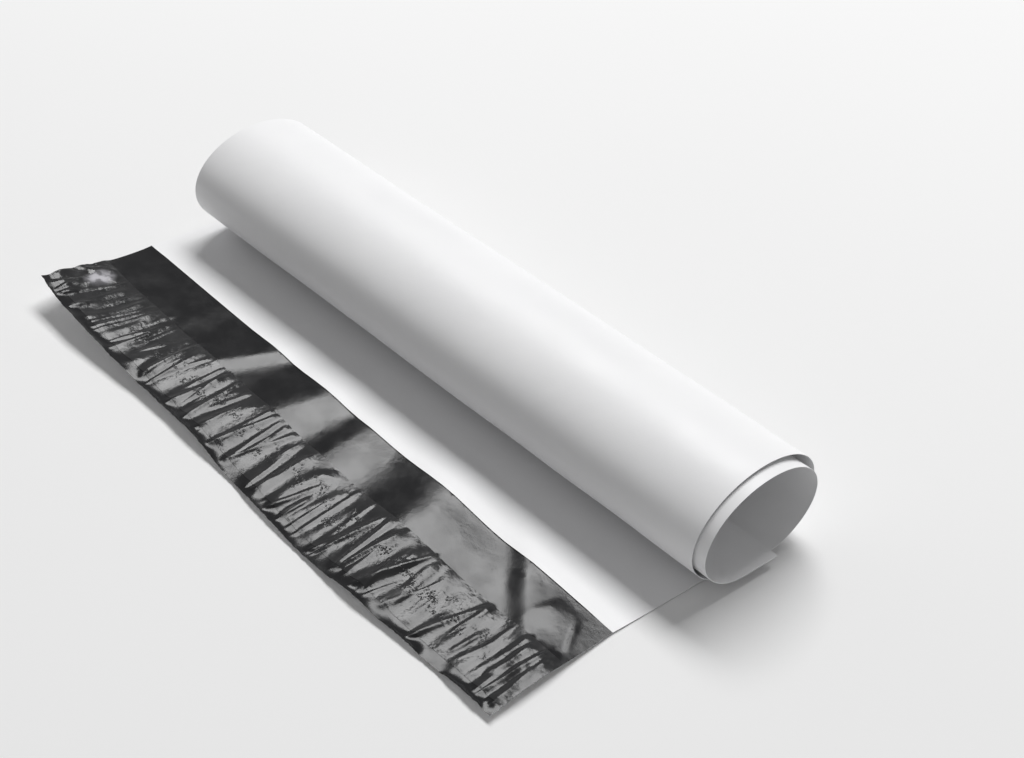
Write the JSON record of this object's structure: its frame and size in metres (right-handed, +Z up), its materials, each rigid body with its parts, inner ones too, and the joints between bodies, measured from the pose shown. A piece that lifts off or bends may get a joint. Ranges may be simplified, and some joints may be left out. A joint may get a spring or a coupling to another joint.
{
  "type": "poly mailer bag",
  "caption": "Flat plastic mailing bag, white outside and black inside, with an adhesive flap under a clear liner, lying open and loosely rolled up from its bottom end.",
  "frame": {"origin": "on the ground, under the middle of the box that the bag fills as it lies half rolled up", "axes": "+X runs along the roll, across the bag's width; +Y from the flap to the roll; +Z up from the table"},
  "size_m": [0.248, 0.1262, 0.0352],
  "materials": {
    "white_film": "satin co-extruded film, white outside and glossy black inside",
    "hot_melt": "tacky clear adhesive over black film, finely bubbled",
    "clear_liner": "glossy clear release film over black film"
  },
  "bodies": {
    "root": {"film_bag": "white_film", "adhesive_strip": "hot_melt", "release_liner": "clear_liner"}
  },
  "joints": []
}
